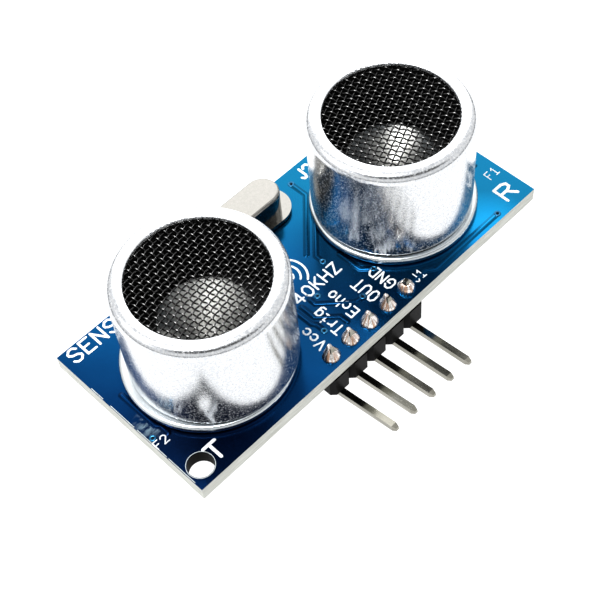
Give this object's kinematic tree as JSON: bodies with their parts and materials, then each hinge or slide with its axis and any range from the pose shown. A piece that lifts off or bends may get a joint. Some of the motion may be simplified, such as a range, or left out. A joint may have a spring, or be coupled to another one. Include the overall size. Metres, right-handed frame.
{
  "type": "ultrasonic distance sensor",
  "caption": "Ultrasonic distance sensor: a blue circuit board with round transmitter and receiver cans under woven grilles, a crystal and a bent pin header.",
  "frame": {"origin": "centre of the board's front face, which is the centre of its two diagonal mounting holes", "axes": "+X from the transmitter to the receiver along the board, +Y away from the header's edge, +Z out of the board's front, the way the sensor looks"},
  "size_m": [0.045, 0.027, 0.018],
  "materials": {
    "board": "glossy blue solder mask on pale glass-fibre laminate",
    "header_plastic": "matt black moulding",
    "header_pin": "bright tin plate",
    "solder": "bright solder",
    "crystal_metal": "satin nickel plate",
    "tinned_lead": "tinned wire",
    "quartz": "clear",
    "can_aluminium": "satin, finely grained",
    "ring_aluminium": "bright rolled edge",
    "grille": "black woven wire",
    "base_plastic": "matt black",
    "silicone": "soft, translucent white",
    "brass_plate": "satin",
    "piezo_ceramic": "fired silver electrode on ceramic",
    "cone_aluminium": "bright",
    "copper_wire": "enamelled copper",
    "chip_plastic": "matt black moulding compound",
    "chip_lead": "matt tin plate",
    "resistor": "glazed black",
    "capacitor": "fired tan ceramic",
    "end_cap": "tinned"
  },
  "bodies": {
    "root": {"circuit_board": "board", "header_body": "header_plastic", "header_pin_vcc": "header_pin", "header_pin_trig": "header_pin", "header_pin_echo": "header_pin", "header_pin_out": "header_pin", "header_pin_gnd": "header_pin", "header_solder_joints": "solder", "transducer_solder_joints": "solder", "crystal_solder_joints": "solder", "crystal_base": "crystal_metal", "crystal_can": "crystal_metal", "crystal_leads": "tinned_lead", "quartz_blank": "quartz", "transmitter_can": "can_aluminium", "transmitter_foot_ring": "ring_aluminium", "transmitter_grille": "grille", "transmitter_base": "base_plastic", "transmitter_silicone_pad": "silicone", "transmitter_metal_plate": "brass_plate", "transmitter_piezo_disc": "piezo_ceramic", "transmitter_cone": "cone_aluminium", "transmitter_leads": "tinned_lead", "transmitter_lead_wires": "copper_wire", "receiver_can": "can_aluminium", "receiver_foot_ring": "ring_aluminium", "receiver_grille": "grille", "receiver_base": "base_plastic", "receiver_silicone_pad": "silicone", "receiver_metal_plate": "brass_plate", "receiver_piezo_disc": "piezo_ceramic", "receiver_cone": "cone_aluminium", "receiver_leads": "tinned_lead", "receiver_lead_wires": "copper_wire", "transmit_driver": "chip_plastic", "transmit_driver_leads": "chip_lead", "microcontroller": "chip_plastic", "microcontroller_leads": "chip_lead", "op_amp": "chip_plastic", "op_amp_leads": "chip_lead", "transistor": "chip_plastic", "transistor_leads": "chip_lead", "chip_resistors": "resistor", "chip_capacitors": "capacitor", "chip_end_caps": "end_cap"}
  },
  "joints": []
}
